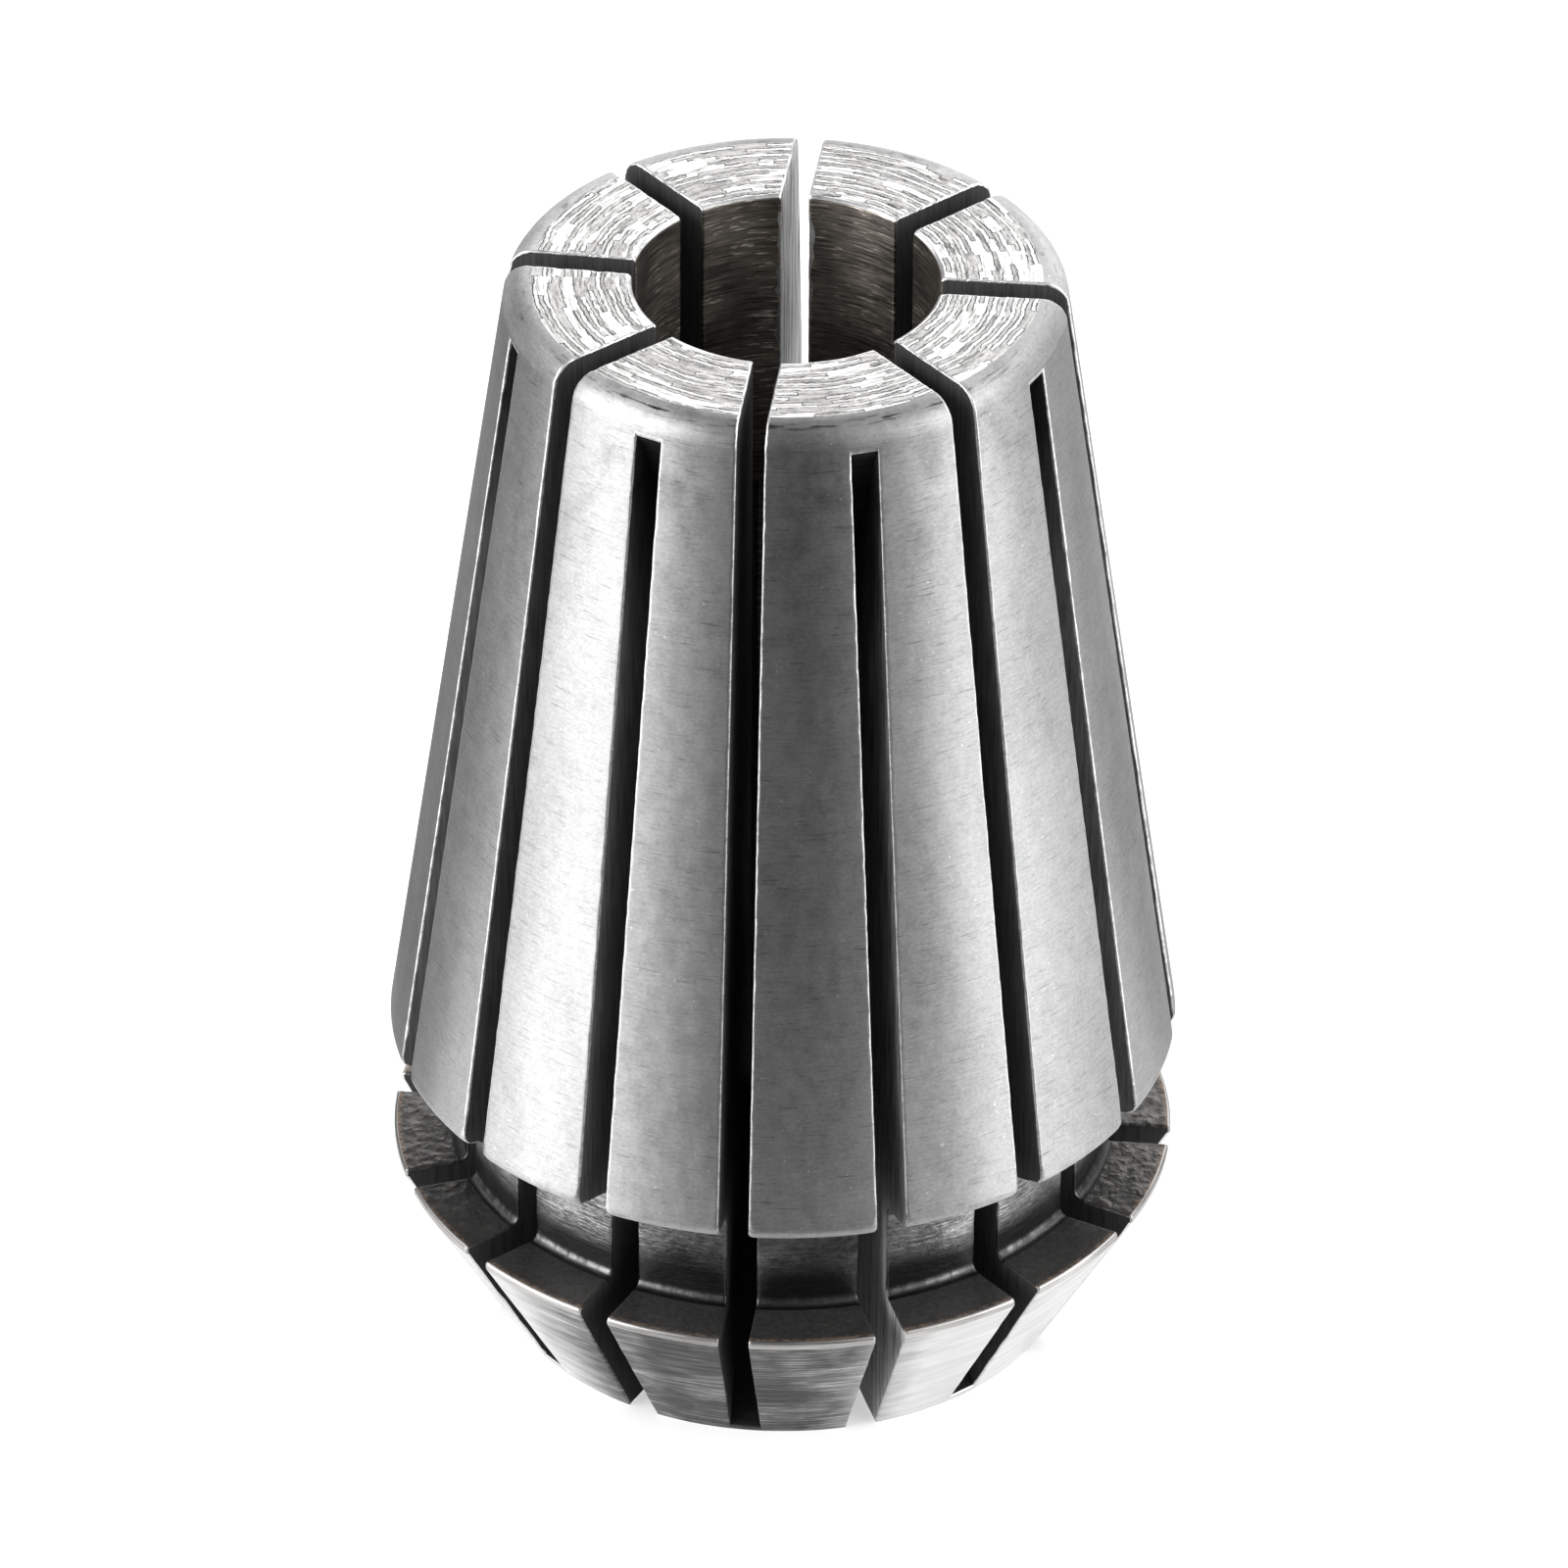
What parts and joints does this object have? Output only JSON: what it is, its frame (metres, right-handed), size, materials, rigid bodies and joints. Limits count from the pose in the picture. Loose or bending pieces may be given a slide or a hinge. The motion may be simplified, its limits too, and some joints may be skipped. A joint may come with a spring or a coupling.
{
  "type": "er collet",
  "caption": "Slotted spring collet with a long outer taper, a straight bore and a grooved nose ring; a clamping nut squeezes it onto a round tool shank.",
  "frame": {"origin": "centre of the nose face, on the axis, on the surface that the collet stands on", "axes": "+Z along the axis from the nose face to the small end; the picture looks from -Y"},
  "size_m": [0.021, 0.021, 0.0315],
  "materials": {
    "steel": "ground satin taper, turned end face, dark sawn slots and groove"
  },
  "bodies": {
    "root": {"collet": "steel"}
  },
  "joints": []
}
